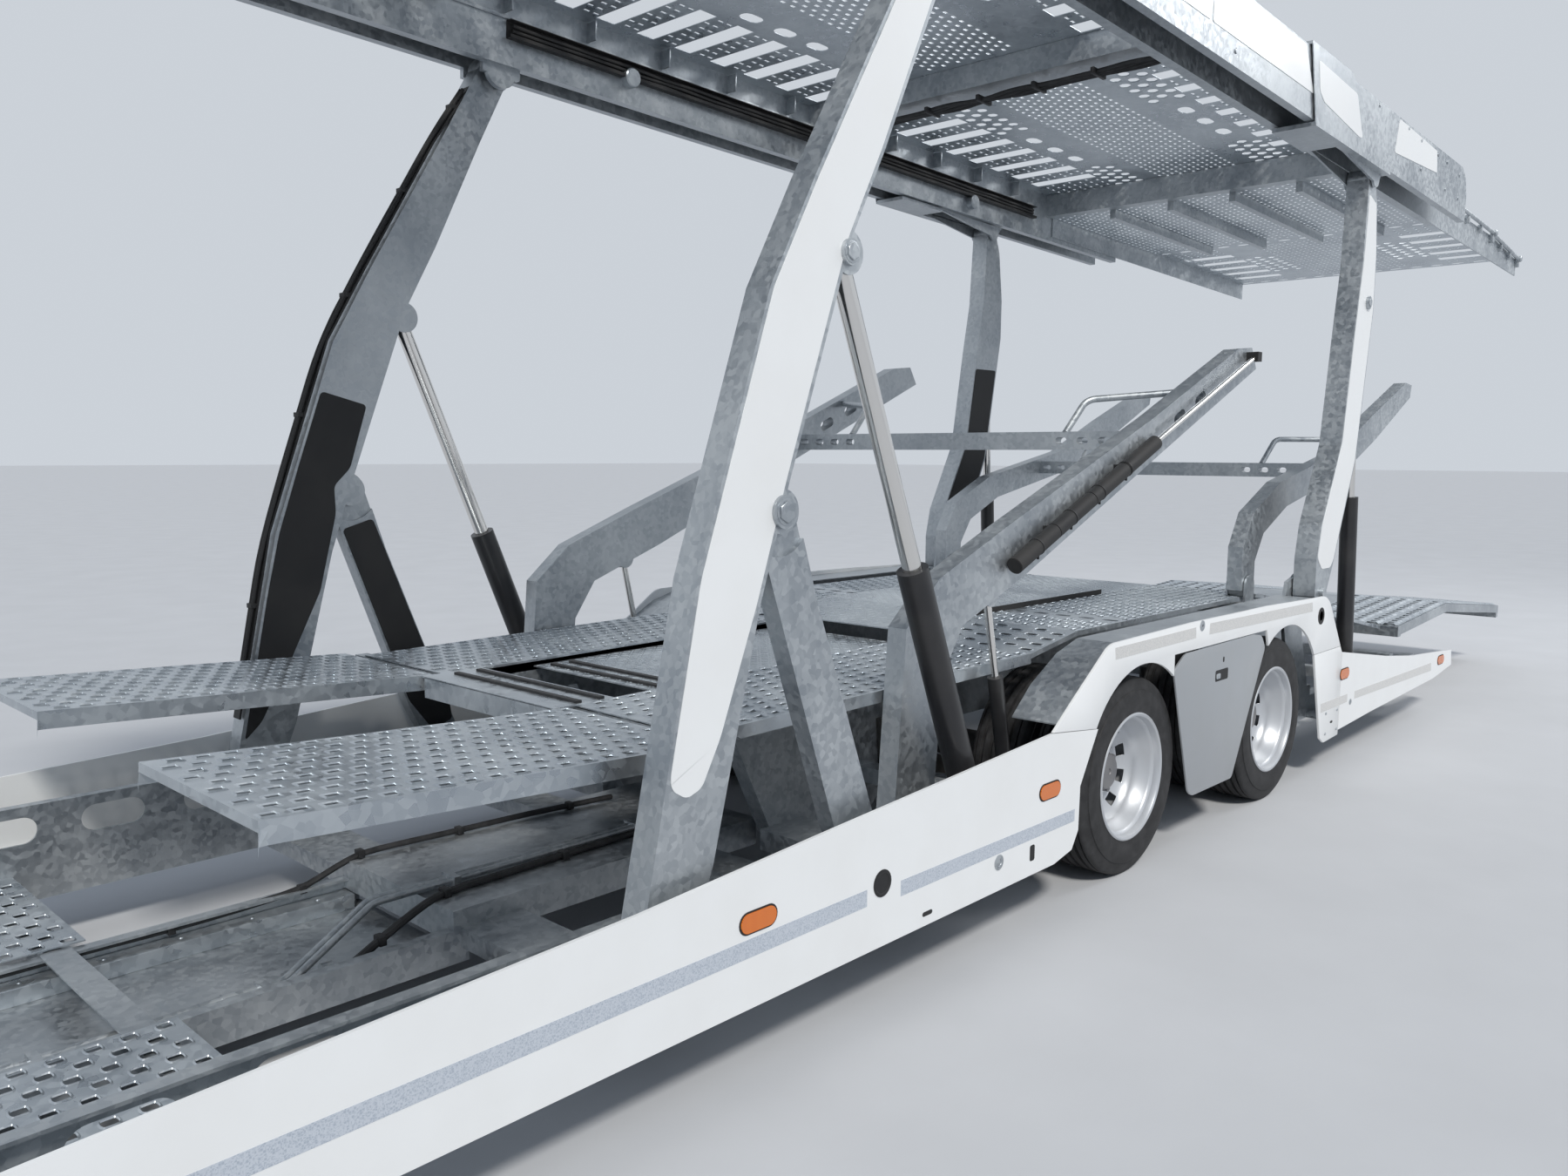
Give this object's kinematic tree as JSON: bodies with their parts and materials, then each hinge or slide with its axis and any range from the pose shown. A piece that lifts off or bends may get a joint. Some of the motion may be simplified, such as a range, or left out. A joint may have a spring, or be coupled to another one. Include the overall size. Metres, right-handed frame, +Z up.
{
  "type": "two-deck car transporter trailer",
  "caption": "Two-deck car transporter trailer with central axles, lifting upper deck, wheel lift levers, tilting planks and rear platform.",
  "frame": {"origin": "on the ground, below the middle of the trailer's length and width", "axes": "+X forward to the towing eye, +Y to the trailer's left, +Z up"},
  "size_m": [12, 2.55, 3.6536],
  "materials": {
    "galvanised": "hot-dip galvanised",
    "white_paint": "gloss",
    "silver_paint": "satin metallic",
    "black_paint": "satin",
    "chrome_rod": "polished",
    "tyre": "matt",
    "rim_paint": "satin metallic",
    "rubber": "matt",
    "amber_lamp": "gloss",
    "red_lamp": "gloss"
  },
  "bodies": {
    "chassis": {"air_springs": "rubber", "axles": "black_paint", "centre_deck": "galvanised", "centre_spine": "galvanised", "chassis_pipes": "galvanised", "cross_members": "galvanised", "cylinder_brackets": "galvanised", "drawbar": "galvanised", "fenders": "white_paint", "front_skirts": "white_paint", "lever_feet": "galvanised", "low_floor": "galvanised", "main_beams": "galvanised", "marker_lamps": "amber_lamp", "middle_deck": "galvanised", "parking_jack": "galvanised", "plank_hinges": "galvanised", "rear_arm_posts": "galvanised", "rear_sills": "galvanised", "rear_skirts": "white_paint", "side_sills": "galvanised", "towing_eye": "galvanised", "trailing_arms": "black_paint", "wheel_covers": "galvanised", "wheel_deck": "galvanised", "wheel_panels": "silver_paint"},
    "wheel_front_left": {"tyres_front_left": "tyre", "rims_front_left": "rim_paint"},
    "wheel_front_right": {"tyres_front_right": "tyre", "rims_front_right": "rim_paint"},
    "wheel_rear_left": {"tyres_rear_left": "tyre", "rims_rear_left": "rim_paint"},
    "wheel_rear_right": {"tyres_rear_right": "tyre", "rims_rear_right": "rim_paint"},
    "front_struts": {"front_struts": "galvanised"},
    "front_arms": {"front_arms": "galvanised"},
    "upper_deck": {"deck_beams": "galvanised", "deck_floor": "galvanised", "deck_cross_beams": "galvanised", "rear_deck": "galvanised"},
    "deck_shoes": {"deck_shoes": "galvanised"},
    "rear_arms": {"rear_arms": "galvanised"},
    "front_barrels": {"front_barrels": "black_paint"},
    "front_rods": {"front_rods": "chrome_rod"},
    "rear_barrels": {"rear_barrels": "black_paint"},
    "rear_rods": {"rear_rods": "chrome_rod"},
    "front_levers": {"front_levers": "galvanised", "front_lever_cylinders": "black_paint", "front_lever_rods": "chrome_rod"},
    "rear_levers": {"rear_levers": "galvanised"},
    "lever_barrels": {"lever_barrels": "black_paint"},
    "lever_rods": {"lever_rods": "chrome_rod"},
    "front_planks": {"front_planks": "galvanised"},
    "rear_platform": {"rear_platform": "galvanised", "tail_lamps": "red_lamp"}
  },
  "joints": [
    {"name": "wheel_front_left_spin", "type": "hinge", "parent": "chassis", "child": "wheel_front_left", "pos_m": [0.62, 1, 0.391], "axis": [0, 1, 0], "continuous": true},
    {"name": "wheel_front_right_spin", "type": "hinge", "parent": "chassis", "child": "wheel_front_right", "pos_m": [0.62, -1, 0.391], "axis": [0, 1, 0], "continuous": true},
    {"name": "wheel_rear_left_spin", "type": "hinge", "parent": "chassis", "child": "wheel_rear_left", "pos_m": [-0.79, 1, 0.391], "axis": [0, 1, 0], "continuous": true},
    {"name": "wheel_rear_right_spin", "type": "hinge", "parent": "chassis", "child": "wheel_rear_right", "pos_m": [-0.79, -1, 0.391], "axis": [0, 1, 0], "continuous": true},
    {"name": "deck_lift", "type": "hinge", "parent": "chassis", "child": "front_struts", "pos_m": [2.195, 0, 0.39], "axis": [0, 1, 0], "range_deg": [0, 51]},
    {"name": "front_arm_fold", "type": "hinge", "parent": "front_struts", "child": "front_arms", "pos_m": [2.595, 0, 1.487], "axis": [0, 1, 0], "range_deg": [-102.5, 0]},
    {"name": "deck_level", "type": "hinge", "parent": "front_arms", "child": "upper_deck", "pos_m": [1.888, 0, 3.225], "axis": [0, 1, 0], "range_deg": [0, 54.64]},
    {"name": "shoe_slide", "type": "slide", "parent": "upper_deck", "child": "deck_shoes", "axis": [0.9994, 0, 0.0349], "range_m": [-1.308, 0]},
    {"name": "rear_arm_fold", "type": "hinge", "parent": "chassis", "child": "rear_arms", "pos_m": [-1.415, 0, 0.945], "axis": [0, 1, 0], "range_deg": [-67.5, 0]},
    {"name": "front_barrel_swing", "type": "hinge", "parent": "chassis", "child": "front_barrels", "pos_m": [1.59, 0, 0.35], "axis": [0, 1, 0], "range_deg": [0, 35.18]},
    {"name": "front_rod_slide", "type": "slide", "parent": "front_barrels", "child": "front_rods", "axis": [0.3794, 0, 0.9252], "range_m": [-0.781, 0]},
    {"name": "rear_barrel_swing", "type": "hinge", "parent": "chassis", "child": "rear_barrels", "pos_m": [-2.01, 0, 0.35], "axis": [0, 1, 0], "range_deg": [-56.09, 0]},
    {"name": "rear_rod_slide", "type": "slide", "parent": "rear_barrels", "child": "rear_rods", "axis": [0.0621, 0, 0.9981], "range_m": [-0.883, 0]},
    {"name": "front_lever_fold", "type": "hinge", "parent": "chassis", "child": "front_levers", "pos_m": [1.785, 0, 0.42], "axis": [0, 1, 0], "range_deg": [-21.5, 0]},
    {"name": "rear_lever_fold", "type": "hinge", "parent": "chassis", "child": "rear_levers", "pos_m": [-1.15, 0, 0.98], "axis": [0, 1, 0], "range_deg": [-18.5, 0]},
    {"name": "lever_barrel_swing", "type": "hinge", "parent": "chassis", "child": "lever_barrels", "pos_m": [1.18, 0, 0.5], "axis": [0, 1, 0], "range_deg": [-24.2, 0]},
    {"name": "lever_rod_slide", "type": "slide", "parent": "lever_barrels", "child": "lever_rods", "axis": [0.2177, 0, 0.976], "range_m": [-0.2306, 0]},
    {"name": "front_plank_tilt", "type": "hinge", "parent": "chassis", "child": "front_planks", "pos_m": [2.67, 0, 0.832], "axis": [0, 1, 0], "range_deg": [0, 22]},
    {"name": "rear_platform_tilt", "type": "hinge", "parent": "chassis", "child": "rear_platform", "pos_m": [-3.35, 0, 0.515], "axis": [0, 1, 0], "range_deg": [-8, 0]}
  ],
  "couplings": [
    {"joint": "front_arm_fold", "follows": "deck_lift", "ratio": -2},
    {"joint": "deck_level", "follows": "deck_lift", "ratio": 1.0615},
    {"joint": "shoe_slide", "follows": "deck_lift", "m_per_rad": -1.4582},
    {"joint": "rear_arm_fold", "follows": "deck_lift", "ratio": -1.3137},
    {"joint": "front_barrel_swing", "follows": "deck_lift", "ratio": 0.68},
    {"joint": "front_rod_slide", "follows": "deck_lift", "m_per_rad": -0.86618},
    {"joint": "rear_barrel_swing", "follows": "deck_lift", "ratio": -1.09},
    {"joint": "rear_rod_slide", "follows": "deck_lift", "m_per_rad": -0.98077},
    {"joint": "front_lever_fold", "follows": "deck_lift", "ratio": -0.41176},
    {"joint": "rear_lever_fold", "follows": "deck_lift", "ratio": -0.35294},
    {"joint": "lever_barrel_swing", "follows": "deck_lift", "ratio": -0.46471},
    {"joint": "lever_rod_slide", "follows": "deck_lift", "m_per_rad": -0.24783}
  ]
}
